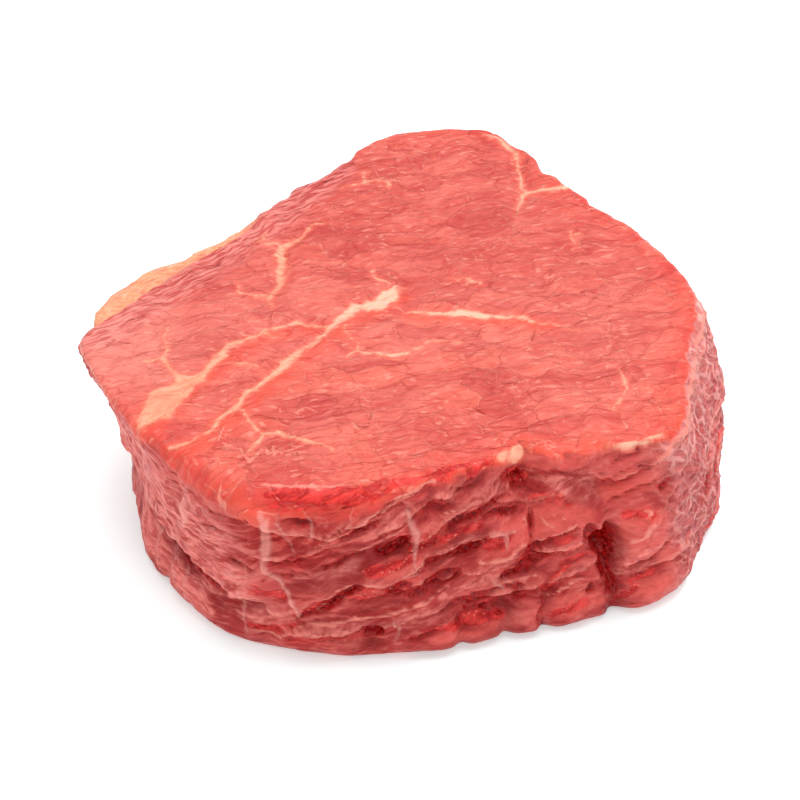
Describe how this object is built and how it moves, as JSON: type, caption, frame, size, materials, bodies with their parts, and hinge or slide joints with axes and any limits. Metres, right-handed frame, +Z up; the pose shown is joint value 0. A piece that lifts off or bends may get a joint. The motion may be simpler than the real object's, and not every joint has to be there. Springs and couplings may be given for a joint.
{
  "type": "eye round steak",
  "caption": "Thick raw beef steak with a marbled cut face, a craggy fibrous side and a flat underside to rest on.",
  "frame": {"origin": "centre of the bounding box at the underside, which lies flat", "axes": "+Z up through the thickness; -Y faces the viewer of the picture and +X is to their right"},
  "size_m": [0.1032, 0.1007, 0.0326],
  "materials": {
    "meat": "wet raw lean beef with pale fat seams"
  },
  "bodies": {
    "root": {"steak": "meat"}
  },
  "joints": []
}
